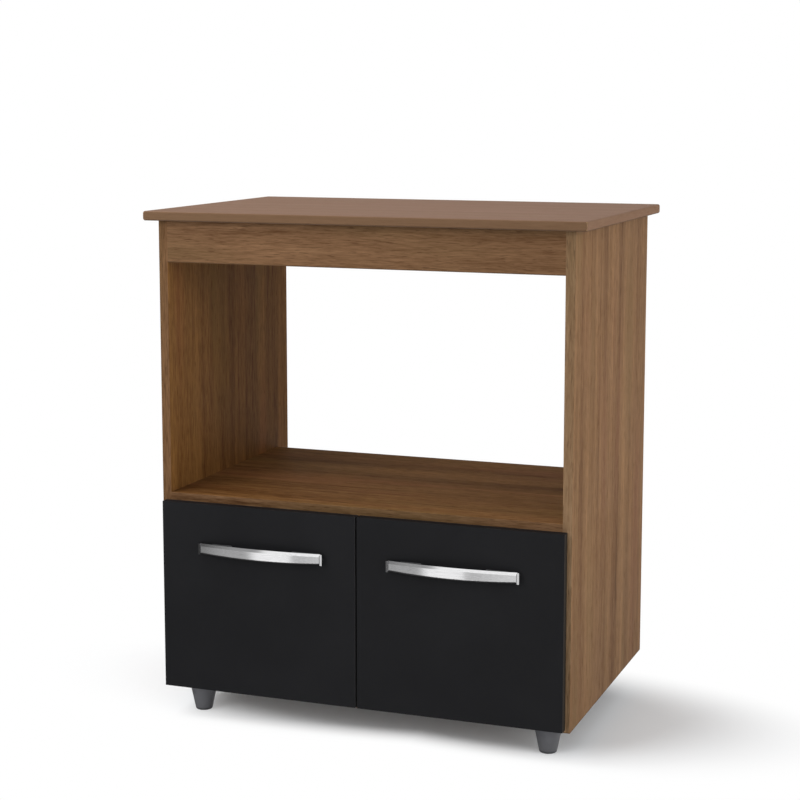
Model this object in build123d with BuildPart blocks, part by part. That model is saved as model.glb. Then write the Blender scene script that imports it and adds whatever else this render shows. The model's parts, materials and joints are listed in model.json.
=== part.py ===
from build123d import *
import os
from math import sqrt

os.makedirs("parts", exist_ok=True)

# A flat-pack cabinet for a microwave: two tall side panels carry a top that overhangs them,
# an open niche runs right through below the top, and two side-hung doors close a
# compartment below the niche. It stands on four conical feet.
#
# All sizes are in millimetres. X is to the right, Y to the rear and Z up. The origin lies on
# the floor, in the middle of the whole cabinet's length and depth, handles included.

# Carcass
carcass_width = 680.0
side_depth = 460.0
side_height = 758.0
panel_thickness = 15.0
panel_edge_round = 0.6
foot_height = 48.0

# Top
top_thickness = 15.0
top_side_overhang = 21.0
top_front_overhang = 15.0
top_edge_round = 3.5
top_corner_spare = 1.0

# Niche and compartment
rail_height = 66.0
shelf_depth = 412.0
compartment_height = 292.0
back_thickness = 3.0
back_side_clearance = 1.0

# Doors
door_thickness = 15.0
door_front_gap = 1.5
door_side_reveal = 7.0
door_meeting_gap = 3.0
door_bottom_reveal = 5.0
door_shelf_overlap = 3.0
bumper_radius = 4.0
bumper_thickness = 1.2
bumper_round = 0.4
bumper_inset = 16.0

# Handles
handle_length = 213.0
handle_inset = 51.5
handle_drop = 71.0
handle_end_height = 17.5
handle_middle_height = 20.0
handle_bow = 12.0
handle_end_reach = 8.5
handle_strap_thickness = 4.5
handle_bevel_drop = 4.2
handle_bevel_depth = 2.2
handle_lower_round = 4.0
handle_end_plate = 3.4
handle_end_proud = 1.0
handle_end_gap = 1.0
handle_end_round = 0.4
handle_groove_width = 1.3
handle_groove_depth = 1.5
handle_groove_margin = 1.6
handle_base_width = 35.0
handle_base_height = 15.0
handle_base_spacing = 138.0
handle_base_round = 1.2
handle_seat_clearance = 0.05
handle_screw_spacing = 128.0
handle_screw_radius = 2.0
handle_screw_head_radius = 4.0
handle_screw_head_height = 2.4
handle_screw_hole_clearance = 0.25
handle_screw_bite = 7.0

# Concealed hinges: a cup let into the door, an arm on a plate on the side panel, and a link
# between them that turns on one pin in the arm and one pin in the cup
hinge_end_distance = 62.0
cup_edge_distance = 3.0
cup_radius = 17.5
cup_depth = 11.5
cup_wall = 1.0
cup_fit = 0.1
cup_flange_thickness = 0.8
cup_flange_radius = 18.7
cup_ear_height = 60.0
cup_ear_width = 15.0
cup_ear_round = 5.0
cup_ear_offset = 6.0
cup_screw_spacing = 48.0
link_pin_in = 15.5
link_pin_forward = 0.0
cup_pin_in = 1.3
cup_pin_forward = 4.0
hinge_pin_radius = 1.2
hinge_pin_fit = 0.05
hinge_pin_press = 0.01
hinge_pin_chamfer = 0.3
link_eye_wall = 1.05
link_width = 10.0
link_thickness = 2.2
link_side_clearance = 0.3
link_bend_radius = 3.0
link_elbow_in = 0.8
link_elbow_forward = 5.8
link_crown_in = 5.2
link_crown_forward = 4.8
arm_wall = 1.2
arm_web_in = 17.0
arm_web_thickness = 1.6
arm_flange_in = 7.0
arm_rear = 58.0
arm_web_front = 6.5
arm_neck_rear = 14.0
arm_eye_radius = 2.9
plate_wing_height = 48.0
plate_wing_depth = 18.0
plate_wing_thickness = 2.0
plate_wing_round = 4.5
plate_wing_setback = 37.0
plate_screw_spacing = 32.0
plate_block_front = 21.0
plate_block_rear = 55.0
plate_block_clearance = 0.2
arm_screw_radius = 2.5
arm_screw_head_radius = 4.4
arm_screw_head_height = 2.0
arm_screw_depth = 8.0
arm_screw_front = 28.0
arm_screw_rear = 48.0

# Wood screws that hold the hinges, brackets and feet. The cover is the wood beyond their tips.
wood_screw_radius = 1.75
wood_screw_head_radius = 3.4
wood_screw_head_height = 1.8
wood_screw_cover = 3.5
wood_screw_fit = 0.1
screw_head_round = 0.6
screw_tip_chamfer = 0.9
driver_slot_length = 4.2
driver_slot_width = 0.9
driver_slot_depth = 0.9

# Cam fittings and dowels that join the boards end to face
cam_radius = 7.5
cam_cover = 2.5
cam_slot_length = 9.0
cam_slot_width = 1.4
cam_end_distance = 34.0
cam_fit = 0.1
cam_bolt_radius = 3.4
cam_bolt_hole_radius = 4.0
cam_bolt_head = 2.5
cam_thread_radius = 2.4
cam_thread_cover = 4.0
cam_thread_chamfer = 0.8
dowel_radius = 4.0
dowel_cover = 6.0
dowel_in_board = 20.0
dowel_fit = 0.1
dowel_end_gap = 0.5
dowel_chamfer = 1.0
board_fixing_setback = 85.0
rail_cam_offset = 12.0
rail_dowel_offset = 14.0

# Steel angle brackets under the top
bracket_leg = 28.0
bracket_width = 16.0
bracket_steel = 1.6
bracket_screw_out = 18.0
bracket_setback = 130.0

# Feet
foot_top_radius = 22.8
foot_floor_radius = 13.4
foot_floor_round = 3.0
foot_wall = 2.5
foot_sole = 4.0
foot_flange_thickness = 3.0
foot_screw_margin = 0.5
foot_side_inset = 46.0
rear_foot_side_inset = 56.0
foot_front_setback = 44.0

# Nails that hold the back panel
nail_radius = 0.8
nail_head_radius = 2.4
nail_head_thickness = 0.7
nail_bite = 18.0
nail_tip_chamfer = 0.4
nail_fit = 0.1
nail_count = 6
nail_end_distance = 40.0

# Places that follow from the sizes above
outer_x = carcass_width / 2
inner_x = outer_x - panel_thickness
handle_reach = handle_end_reach + handle_bow
front_y = (door_front_gap + door_thickness + handle_reach - side_depth) / 2
rear_y = front_y + side_depth
board_rear_y = front_y + shelf_depth
carcass_z = foot_height
compartment_z = carcass_z + panel_thickness
shelf_z = compartment_z + compartment_height
niche_z = shelf_z + panel_thickness
top_z = carcass_z + side_height
rail_z = top_z - rail_height

door_back_y = front_y - door_front_gap
door_front_y = door_back_y - door_thickness
door_outer_x = outer_x - door_side_reveal
door_inner_x = door_meeting_gap / 2
door_z = carcass_z + door_bottom_reveal
door_top_z = shelf_z + door_shelf_overlap
handle_x = door_inner_x + handle_inset + handle_length / 2
handle_z = door_top_z - handle_drop
hinge_heights = (door_z + hinge_end_distance, door_top_z - hinge_end_distance)
hinge_names = ("lower", "upper")
arm_screw_ys = (front_y + arm_screw_front, front_y + arm_screw_rear)

side_bite = panel_thickness - wood_screw_cover
top_bite = top_thickness - wood_screw_cover
door_bite = door_thickness - wood_screw_cover
wood_hole_radius = wood_screw_radius + wood_screw_fit
foot_screw_circle = foot_top_radius + foot_screw_margin + wood_screw_head_radius
foot_flange_radius = foot_screw_circle + wood_screw_head_radius + foot_screw_margin
cam_depth = panel_thickness - cam_cover
cam_thread_length = panel_thickness - cam_thread_cover
dowel_in_side = panel_thickness - dowel_cover


# Helpers

def facing(x, y, z, outward):
    """A plane at a point, with its normal pointing out of the wood or metal."""
    along = (0, 1, 0) if outward[0] else (1, 0, 0)
    return Plane(origin=(x, y, z), x_dir=along, z_dir=outward)


def box_between(low, high):
    """A block from its lowest corner to its highest corner, added to the open part."""
    size = [high[i] - low[i] for i in range(3)]
    middle = [(high[i] + low[i]) / 2 for i in range(3)]
    with Locations(tuple(middle)):
        Box(*size)


def drill(places, radius, depth):
    """A blind hole at each place, square to it."""
    with Locations(*places):
        Hole(radius, depth)


def mirrored(piece):
    """The same piece for the left-hand side of the cabinet."""
    with BuildPart() as other:
        mirror(piece.part, about=Plane.YZ)
    return other


def grouped(*sets):
    """Each small piece at all of its places, as separate solids in one part."""
    with BuildPart() as group:
        for places, piece in sets:
            for place in places:
                add(piece.part.moved(place.location))
    return group


def both_sides(places):
    """Places on the right and their mirror images on the left."""
    mirror_images = []
    for place in places:
        origin = place.origin
        normal = place.z_dir
        mirror_images.append(facing(-origin.X, origin.Y, origin.Z, (-normal.X, normal.Y, normal.Z)))
    return list(places) + mirror_images


def save(piece, name):
    """Label a finished piece and write it as its own file."""
    piece.part.label = name
    export_step(piece.part, f"parts/{name}.step")


# Fasteners, each drawn along Z with its seat at the origin and its head above it

def headed_screw(shank_radius, head_radius, head_height, length):
    with BuildPart() as screw:
        with BuildSketch(Plane.XY):
            Circle(head_radius)
        extrude(amount=head_height)
        fillet(screw.faces().sort_by(Axis.Z)[-1].edges(), screw_head_round)
        with BuildSketch(Plane.XY):
            Circle(shank_radius)
        extrude(amount=-length)
        chamfer(screw.faces().sort_by(Axis.Z)[0].edges(), screw_tip_chamfer)
        with BuildSketch(Plane.XY.offset(head_height)):
            Rectangle(driver_slot_length, driver_slot_width)
            Rectangle(driver_slot_width, driver_slot_length)
        extrude(amount=-driver_slot_depth, mode=Mode.SUBTRACT)
    return screw


def wood_screw(held_thickness, bite):
    """A screw that goes through a flange or plate and bites into a board."""
    return headed_screw(
        wood_screw_radius, wood_screw_head_radius, wood_screw_head_height, held_thickness + bite
    )


def arm_screw():
    length = arm_web_thickness + arm_screw_depth
    return headed_screw(arm_screw_radius, arm_screw_head_radius, arm_screw_head_height, length)


def handle_screw():
    length = door_thickness + handle_screw_bite
    return headed_screw(
        handle_screw_radius, handle_screw_head_radius, handle_screw_head_height, length
    )


def nail():
    with BuildPart() as one:
        with BuildSketch(Plane.XY):
            Circle(nail_head_radius)
        extrude(amount=nail_head_thickness)
        with BuildSketch(Plane.XY):
            Circle(nail_radius)
        extrude(amount=-(back_thickness + nail_bite))
        chamfer(one.faces().sort_by(Axis.Z)[0].edges(), nail_tip_chamfer)
    return one


def cam_lock():
    """The round eccentric that grips the bolt's head. Its mouth faces along X."""
    with BuildPart() as cam:
        with BuildSketch(Plane.XY):
            Circle(cam_radius - cam_fit)
        extrude(amount=-(cam_depth - cam_fit))
        with BuildSketch(Plane.YZ.offset(-cam_radius)):
            with Locations((0, -panel_thickness / 2)):
                Circle(cam_bolt_hole_radius)
        extrude(amount=cam_radius * 2, mode=Mode.SUBTRACT)
        with BuildSketch(Plane.XY):
            Rectangle(cam_slot_length, cam_slot_width)
            Rectangle(cam_slot_width, cam_slot_length)
        extrude(amount=-driver_slot_depth, mode=Mode.SUBTRACT)
    return cam


def cam_bolt():
    """The bolt that is screwed into the side panel. Its seat is the panel's face."""
    with BuildPart() as bolt:
        with BuildSketch(Plane.XY.offset(-cam_thread_length)):
            Circle(cam_thread_radius)
        extrude(amount=cam_thread_length + cam_end_distance)
        chamfer(bolt.faces().sort_by(Axis.Z)[0].edges(), cam_thread_chamfer)
        with BuildSketch(Plane.XY):
            Circle(cam_bolt_radius)
        extrude(amount=cam_end_distance - cam_radius)
        with BuildSketch(Plane.XY.offset(cam_end_distance - cam_bolt_head)):
            Circle(cam_bolt_radius)
        extrude(amount=cam_bolt_head)
    return bolt


def dowel():
    """A wooden dowel, half in the side panel and half in the board's end."""
    with BuildPart() as peg:
        with BuildSketch(Plane.XY.offset(-dowel_in_side)):
            Circle(dowel_radius)
        extrude(amount=dowel_in_side + dowel_in_board)
        chamfer(peg.faces().filter_by(Axis.Z).edges(), dowel_chamfer)
    return peg


# Where the boards meet the right-hand side panel

board_cam_y = (front_y + board_fixing_setback, board_rear_y - board_fixing_setback)
board_dowel_y = (front_y + board_rear_y) / 2
front_rail_y = front_y + panel_thickness / 2
rear_rail_y = rear_y - panel_thickness / 2
rail_cam_z = (rail_z + top_z) / 2 + rail_cam_offset
rail_dowel_z = (rail_z + top_z) / 2 - rail_dowel_offset
board_heights = (carcass_z + panel_thickness / 2, shelf_z + panel_thickness / 2)

side_cam_points = [(y, z) for z in board_heights for y in board_cam_y]
side_cam_points += [(front_rail_y, rail_cam_z), (rear_rail_y, rail_cam_z)]
side_dowel_points = [(board_dowel_y, z) for z in board_heights]
side_dowel_points += [(front_rail_y, rail_dowel_z), (rear_rail_y, rail_dowel_z)]


def on_side(points):
    """Places on the inner face of the right-hand side panel."""
    return [facing(inner_x, y, z, (-1, 0, 0)) for y, z in points]


def on_board_end(points):
    """Places on the right-hand end of a board that butts against the side panel."""
    return [facing(inner_x, y, z, (1, 0, 0)) for y, z in points]


cam_x = inner_x - cam_end_distance
board_cam_places = [
    facing(cam_x, y, z - panel_thickness / 2, (0, 0, -1)) for z in board_heights for y in board_cam_y
]
front_rail_cam_place = facing(cam_x, front_y + panel_thickness, rail_cam_z, (0, 1, 0))
rear_rail_cam_place = facing(cam_x, rear_y - panel_thickness, rail_cam_z, (0, -1, 0))

bracket_points = [front_y + bracket_setback, rear_y - bracket_setback]
plate_screw_points = [
    (front_y + plate_wing_setback, z + side * plate_screw_spacing / 2)
    for z in hinge_heights
    for side in (-1, 1)
]
foot_places = {
    "front": (outer_x - foot_side_inset, front_y + foot_front_setback),
    "rear": (outer_x - rear_foot_side_inset, board_rear_y - foot_front_setback),
}


def foot_screw_places(x, y, z):
    """Four places on a circle about a foot's axis, seen from below."""
    reach = foot_screw_circle / sqrt(2)
    return [facing(x + i * reach, y + j * reach, z, (0, 0, -1)) for i in (-1, 1) for j in (-1, 1)]


# Boards

def make_side_panel():
    with BuildPart() as side:
        box_between((inner_x, front_y, carcass_z), (outer_x, rear_y, top_z))
        fillet(side.edges().filter_by(Axis.Z), panel_edge_round)
        fillet(side.faces().sort_by(Axis.Z)[0].edges().filter_by(Axis.Y), panel_edge_round)
        drill(on_side(side_cam_points), cam_thread_radius + cam_fit, cam_thread_length + cam_fit)
        drill(on_side(side_dowel_points), dowel_radius + dowel_fit, dowel_in_side + dowel_end_gap)
        bracket_holes = [(y, top_z - bracket_screw_out) for y in bracket_points]
        screw_holes = plate_screw_points + bracket_holes
        drill(on_side(screw_holes), wood_hole_radius, side_bite + wood_screw_fit)
    return side


def make_level_board(z, with_foot_holes):
    """The bottom panel or the shelf, which fill the width between the side panels."""
    with BuildPart() as board:
        box_between((-inner_x, front_y, z), (inner_x, board_rear_y, z + panel_thickness))
        fillet(board.faces().sort_by(Axis.Y)[0].edges().filter_by(Axis.X), panel_edge_round)
        middle_z = z + panel_thickness / 2
        cam_holes = on_board_end([(y, middle_z) for y in board_cam_y])
        drill(both_sides(cam_holes), cam_bolt_hole_radius, cam_end_distance)
        dowel_holes = on_board_end([(board_dowel_y, middle_z)])
        drill(both_sides(dowel_holes), dowel_radius + dowel_fit, dowel_in_board + dowel_end_gap)
        cam_pockets = [facing(cam_x, y, z, (0, 0, -1)) for y in board_cam_y]
        drill(both_sides(cam_pockets), cam_radius, cam_depth)
        nail_holes = [facing(x, board_rear_y, middle_z, (0, 1, 0)) for x in nail_x_places()]
        drill(nail_holes, nail_radius + nail_fit, nail_bite + nail_fit)
        if with_foot_holes:
            for x, y in foot_places.values():
                holes = foot_screw_places(x, y, z)
                drill(both_sides(holes), wood_hole_radius, side_bite + wood_screw_fit)
    return board


def nail_x_places():
    """Even places along the back panel's upper and lower edges."""
    first = -inner_x + nail_end_distance
    step = (inner_x - nail_end_distance) * 2 / (nail_count - 1)
    return [first + i * step for i in range(nail_count)]


def make_rail(front, cam_place):
    """A rail on edge under the top, between the side panels."""
    middle_y = front + panel_thickness / 2
    with BuildPart() as rail:
        box_between((-inner_x, front, rail_z), (inner_x, front + panel_thickness, top_z))
        fillet(rail.faces().sort_by(Axis.Z)[0].edges().filter_by(Axis.X), panel_edge_round)
        drill(
            both_sides(on_board_end([(middle_y, rail_cam_z)])),
            cam_bolt_hole_radius,
            cam_end_distance,
        )
        drill(
            both_sides(on_board_end([(middle_y, rail_dowel_z)])),
            dowel_radius + dowel_fit,
            dowel_in_board + dowel_end_gap,
        )
        drill(both_sides([cam_place]), cam_radius, cam_depth)
    return rail


def make_top_panel():
    reach_x = outer_x + top_side_overhang
    low = (-reach_x, front_y - top_front_overhang, top_z)
    high = (reach_x, rear_y, top_z + top_thickness)
    with BuildPart() as top:
        box_between(low, high)
        fillet(top.edges().filter_by(Axis.Z), top_edge_round + top_corner_spare)
        rims = top.faces().sort_by(Axis.Z)
        fillet(rims[0].edges() + rims[-1].edges(), top_edge_round)
        holes = [facing(inner_x - bracket_screw_out, y, top_z, (0, 0, -1)) for y in bracket_points]
        drill(both_sides(holes), wood_hole_radius, top_bite + wood_screw_fit)
    return top


def make_back_panel():
    half = inner_x - back_side_clearance
    with BuildPart() as back:
        box_between((-half, board_rear_y, carcass_z), (half, board_rear_y + back_thickness, niche_z))
        for z in board_heights:
            holes = [facing(x, board_rear_y + back_thickness, z, (0, 1, 0)) for x in nail_x_places()]
            drill(holes, nail_radius + nail_fit, back_thickness * 2)
    return back


# Doors and handles

handle_screw_xs = (handle_x - handle_screw_spacing / 2, handle_x + handle_screw_spacing / 2)
cup_x = door_outer_x - cup_edge_distance - cup_radius
cup_screw_x = cup_x - cup_ear_offset


def cup_screw_places(z, y):
    """The two places beside a cup where screws hold its flange."""
    half = cup_screw_spacing / 2
    return [facing(cup_screw_x, y, z + side * half, (0, 1, 0)) for side in (-1, 1)]


def make_door():
    with BuildPart() as door:
        box_between((door_inner_x, door_front_y, door_z), (door_outer_x, door_back_y, door_top_z))
        fillet(door.edges(), panel_edge_round)
        cups = [facing(cup_x, door_back_y, z, (0, 1, 0)) for z in hinge_heights]
        drill(cups, cup_radius, cup_depth)
        for z in hinge_heights:
            drill(cup_screw_places(z, door_back_y), wood_hole_radius, door_bite + wood_screw_fit)
        screw_holes = [facing(x, door_back_y, handle_z, (0, 1, 0)) for x in handle_screw_xs]
        drill(
            screw_holes,
            handle_screw_radius + handle_screw_hole_clearance,
            door_thickness * 2,
        )
    return door


def bow_radius(sagitta, half_chord):
    """Radius of an arc from its rise and half its chord."""
    return (half_chord**2 + sagitta**2) / (2 * sagitta)


def make_handle():
    """A bowed strap whose two ends carry upright plates close to the door."""
    half = handle_length / 2
    strap_half = half - handle_end_plate
    end_y = door_front_y - handle_end_reach
    middle_y = end_y - handle_bow
    back = handle_strap_thickness
    half_end = handle_end_height / 2
    half_middle = handle_middle_height / 2
    with BuildPart() as handle:
        with BuildSketch(Plane.XY.offset(handle_z - half_middle)):
            with BuildLine():
                outer = ThreePointArc(
                    (handle_x - strap_half, end_y),
                    (handle_x, middle_y),
                    (handle_x + strap_half, end_y),
                )
                inner = ThreePointArc(
                    (handle_x - strap_half, end_y + back),
                    (handle_x, middle_y + back),
                    (handle_x + strap_half, end_y + back),
                )
                Line(outer @ 0, inner @ 0)
                Line(outer @ 1, inner @ 1)
            make_face()
        extrude(amount=handle_middle_height)
        upright = Plane(origin=(handle_x, end_y + back, handle_z), x_dir=(1, 0, 0), z_dir=(0, -1, 0))
        with BuildSketch(upright):
            with BuildLine():
                upper = ThreePointArc(
                    (-strap_half, half_end),
                    (0, half_middle),
                    (strap_half, half_end),
                )
                lower = ThreePointArc(
                    (-strap_half, -half_end),
                    (0, -half_middle),
                    (strap_half, -half_end),
                )
                Line(upper @ 0, lower @ 0)
                Line(upper @ 1, lower @ 1)
            make_face()
        extrude(amount=handle_bow + back * 2, mode=Mode.INTERSECT)
        front = handle.faces().sort_by(Axis.Y)[0]
        rims = front.edges().sort_by(Axis.Z)
        chamfer(rims[-1], handle_bevel_drop, handle_bevel_depth, reference=front)
        lower_rim = handle.faces().sort_by(Axis.Y)[0].edges().sort_by(Axis.Z)[0]
        fillet(lower_rim, handle_lower_round)
        for side in (-1, 1):
            with Locations((handle_x + side * strap_half, end_y, handle_z)):
                Box(
                    handle_groove_width * 2,
                    handle_groove_depth * 2,
                    handle_end_height - handle_groove_margin * 2,
                    mode=Mode.SUBTRACT,
                )
        for left in (handle_x - half, handle_x + strap_half):
            box_between(
                (left, end_y - handle_end_proud, handle_z - half_end),
                (left + handle_end_plate, door_front_y - handle_end_gap, handle_z + half_end),
            )
        ends = handle.faces().sort_by(Axis.X)
        fillet(ends[0].edges() + ends[-1].edges(), handle_end_round)
    return handle


def make_handle_bases():
    """Two dark blocks that stand on the door and carry the strap."""
    strap_half = handle_length / 2 - handle_end_plate
    back_radius = bow_radius(handle_bow, strap_half)
    back_y = door_front_y - handle_end_reach - handle_bow + handle_strap_thickness
    with BuildPart() as bases:
        with BuildSketch(Plane.XY.offset(handle_z - handle_base_height / 2)):
            for side in (-1, 1):
                with Locations((handle_x + side * handle_base_spacing / 2, door_front_y)):
                    Rectangle(
                        handle_base_width,
                        handle_end_reach + handle_bow,
                        align=(Align.CENTER, Align.MAX),
                    )
            with Locations((handle_x, back_y + back_radius)):
                Circle(back_radius - handle_seat_clearance, mode=Mode.INTERSECT)
        extrude(amount=handle_base_height)
        fillet(bases.edges().filter_by(Axis.Y), handle_base_round)
        holes = [facing(x, door_front_y, handle_z, (0, 1, 0)) for x in handle_screw_xs]
        drill(holes, handle_screw_radius + wood_screw_fit, handle_screw_bite + wood_screw_fit)
    return bases


def make_door_bumpers():
    """Soft pads on the door's back that meet the edges of the shelf and the bottom panel."""
    x = door_inner_x + bumper_inset
    reach = bumper_radius + panel_edge_round
    spots = [facing(x, door_back_y, z, (0, 1, 0)) for z in (door_z + reach, door_top_z - reach)]
    with BuildPart() as bumpers:
        for spot in spots:
            with BuildSketch(spot):
                Circle(bumper_radius)
            extrude(amount=bumper_thickness)
        fillet(bumpers.faces().sort_by(Axis.Y)[-2:].edges(), bumper_round)
    return bumpers


# Hinges. They are drawn for the right-hand door on a plane that lies on the side panel's inner
# front corner, with its first axis inward and its second axis forward.

def hinge_plane(z):
    return Plane(origin=(inner_x, front_y, z), x_dir=(-1, 0, 0), z_dir=(0, 0, 1))


def make_hinge_pin(z, inward, forward, length):
    with BuildPart() as pin:
        with BuildSketch(hinge_plane(z - length / 2)):
            with Locations((inward, forward)):
                Circle(hinge_pin_radius)
        extrude(amount=length)
        chamfer(pin.edges().filter_by(GeomType.CIRCLE), hinge_pin_chamfer)
    return pin


def make_hinge_cup(z):
    outer = cup_radius - cup_fit
    floor_depth = cup_depth - cup_fit
    mouth = facing(cup_x, door_back_y, z, (0, 1, 0))
    with BuildPart() as cup:
        with BuildSketch(mouth):
            Circle(outer)
        extrude(amount=-floor_depth)
        fillet(cup.faces().sort_by(Axis.Y)[0].edges(), cup_wall)
        with BuildSketch(mouth):
            Circle(cup_flange_radius)
            with Locations((-cup_ear_offset, 0)):
                RectangleRounded(cup_ear_width, cup_ear_height, cup_ear_round)
        extrude(amount=cup_flange_thickness)
        with BuildSketch(mouth.offset(cup_flange_thickness)):
            Circle(outer - cup_wall)
        extrude(amount=-(floor_depth - cup_wall + cup_flange_thickness), mode=Mode.SUBTRACT)
        with BuildSketch(hinge_plane(z - cup_radius)):
            with Locations((cup_pin_in, cup_pin_forward)):
                Circle(hinge_pin_radius + hinge_pin_press)
        extrude(amount=cup_radius * 2, mode=Mode.SUBTRACT)
        drill(
            cup_screw_places(z, door_back_y + cup_flange_thickness),
            wood_hole_radius,
            cup_flange_thickness * 2,
        )
    return cup


def cup_pin_length():
    """As long as the cup is wide where the pin's outer side crosses its wall."""
    across = inner_x - (cup_pin_in - hinge_pin_radius) - cup_x
    outer = cup_radius - cup_fit
    return 2 * sqrt((outer - cup_wall / 2) ** 2 - across**2)


def make_hinge_link(z):
    """A bent link. It dips into the cup round the edge of the door and comes back to its pin."""
    eye = hinge_pin_radius + hinge_pin_fit + link_eye_wall
    with BuildPart() as link:
        with BuildSketch(hinge_plane(z - link_width / 2)):
            with BuildLine():
                FilletPolyline(
                    (link_pin_in, link_pin_forward),
                    (link_pin_in + link_elbow_in, link_pin_forward + link_elbow_forward),
                    (cup_pin_in + link_crown_in, cup_pin_forward + link_crown_forward),
                    (cup_pin_in, cup_pin_forward),
                    radius=link_bend_radius,
                )
            trace(line_width=link_thickness)
            for centre in ((link_pin_in, link_pin_forward), (cup_pin_in, cup_pin_forward)):
                with Locations(centre):
                    Circle(eye)
            for centre in ((link_pin_in, link_pin_forward), (cup_pin_in, cup_pin_forward)):
                with Locations(centre):
                    Circle(hinge_pin_radius + hinge_pin_fit, mode=Mode.SUBTRACT)
        extrude(amount=link_width)
    return link


def make_hinge_arm(z):
    """A steel channel, open towards the side panel, whose two cheeks hold the link's pin."""
    cheek_in = link_width / 2 + link_side_clearance
    cheek_out = cheek_in + arm_wall
    web_far = arm_web_in + arm_web_thickness
    with BuildPart() as arm:
        for low in (-cheek_out, cheek_in):
            with BuildSketch(hinge_plane(z + low)):
                with BuildLine():
                    Polyline(
                        (arm_flange_in, -arm_rear),
                        (web_far, -arm_rear),
                        (web_far, -arm_web_front),
                        (link_pin_in, link_pin_forward),
                        (arm_flange_in, -arm_neck_rear),
                        close=True,
                    )
                make_face()
                with Locations((link_pin_in, link_pin_forward)):
                    Circle(arm_eye_radius)
                    Circle(hinge_pin_radius + hinge_pin_press, mode=Mode.SUBTRACT)
            extrude(amount=arm_wall)
        with BuildSketch(hinge_plane(z - cheek_out)):
            with Locations((arm_web_in, -arm_rear)):
                Rectangle(
                    arm_web_thickness,
                    arm_rear - arm_web_front,
                    align=(Align.MIN, Align.MIN),
                )
        extrude(amount=cheek_out * 2)
        holes = [facing(inner_x - web_far, y, z, (-1, 0, 0)) for y in arm_screw_ys]
        drill(holes, arm_screw_radius + wood_screw_fit, arm_web_thickness * 2)
    return arm


def make_hinge_plate(z):
    """The plate on the side panel: two wings for its screws and a block that fills the arm."""
    block_half = link_width / 2 + link_side_clearance - plate_block_clearance
    with BuildPart() as plate:
        wings = facing(inner_x, front_y + plate_wing_setback, z, (-1, 0, 0))
        with BuildSketch(wings):
            RectangleRounded(plate_wing_depth, plate_wing_height, plate_wing_round)
        extrude(amount=plate_wing_thickness)
        box_between(
            (inner_x - arm_web_in, front_y + plate_block_front, z - block_half),
            (inner_x, front_y + plate_block_rear, z + block_half),
        )
        side_places = [facing(inner_x, y, h, (-1, 0, 0)) for y, h in plate_screw_points]
        drill(side_places, wood_hole_radius, plate_wing_thickness * 2)
        screws = [facing(inner_x - arm_web_in, y, z, (-1, 0, 0)) for y in arm_screw_ys]
        drill(screws, arm_screw_radius + wood_screw_fit, arm_screw_depth + wood_screw_fit)
    return plate


# Feet, brackets and fasteners

def make_foot(x, y):
    """A hollow plastic cone on a round flange, with a rounded rim on the floor."""
    cone_top = foot_height - foot_flange_thickness
    with BuildPart() as foot:
        with BuildSketch(Plane(origin=(x, y, 0), x_dir=(1, 0, 0), z_dir=(0, -1, 0))):
            with BuildLine():
                Polyline(
                    (0, 0),
                    (foot_floor_radius, 0),
                    (foot_top_radius, cone_top),
                    (foot_flange_radius, cone_top),
                    (foot_flange_radius, foot_height),
                    (foot_top_radius - foot_wall, foot_height),
                    (foot_floor_radius - foot_wall, foot_sole),
                    (0, foot_sole),
                    close=True,
                )
            make_face()
        revolve(axis=Axis((x, y, 0), (0, 0, 1)))
        fillet(foot.faces().sort_by(Axis.Z)[0].edges(), foot_floor_round)
        drill(foot_screw_places(x, y, cone_top), wood_hole_radius, foot_flange_thickness * 2)
    return foot


def make_bracket(y):
    """A steel angle in the corner between the side panel and the top."""
    with BuildPart() as bracket:
        with BuildSketch(Plane(origin=(inner_x, y, top_z), x_dir=(-1, 0, 0), z_dir=(0, 1, 0))):
            with BuildLine():
                Polyline(
                    (0, 0),
                    (bracket_leg, 0),
                    (bracket_leg, -bracket_steel),
                    (bracket_steel, -bracket_steel),
                    (bracket_steel, -bracket_leg),
                    (0, -bracket_leg),
                    close=True,
                )
            make_face()
        extrude(amount=bracket_width / 2, both=True)
        drill(
            [facing(inner_x - bracket_steel, y, top_z - bracket_screw_out, (-1, 0, 0))],
            wood_hole_radius,
            bracket_steel * 2,
        )
        drill(
            [facing(inner_x - bracket_screw_out, y, top_z - bracket_steel, (0, 0, -1))],
            wood_hole_radius,
            bracket_steel * 2,
        )
    return bracket


def make_brackets():
    with BuildPart() as brackets:
        for y in bracket_points:
            bracket = make_bracket(y).part
            add(bracket)
            mirror(bracket, about=Plane.YZ)
    return brackets


# Write the pieces of the carcass

side = make_side_panel()
save(side, "right_side_panel")
save(mirrored(side), "left_side_panel")
save(make_top_panel(), "top_panel")
save(make_level_board(carcass_z, True), "bottom_panel")
save(make_level_board(shelf_z, False), "middle_shelf")
save(make_rail(front_y, front_rail_cam_place), "front_rail")
save(make_rail(rear_y - panel_thickness, rear_rail_cam_place), "rear_rail")
save(make_back_panel(), "back_panel")

for row, (x, y) in foot_places.items():
    foot = make_foot(x, y)
    save(foot, f"{row}_right_foot")
    save(mirrored(foot), f"{row}_left_foot")

foot_screw_spots = []
for x, y in foot_places.values():
    foot_screw_spots += foot_screw_places(x, y, foot_height - foot_flange_thickness)
foot_screw = wood_screw(foot_flange_thickness, side_bite)
save(grouped((both_sides(foot_screw_spots), foot_screw)), "foot_screws")

cam_places = both_sides(board_cam_places + [front_rail_cam_place, rear_rail_cam_place])
save(grouped((cam_places, cam_lock())), "cam_locks")
save(grouped((both_sides(on_side(side_cam_points)), cam_bolt())), "cam_bolts")
save(grouped((both_sides(on_side(side_dowel_points)), dowel())), "wooden_dowels")

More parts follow.
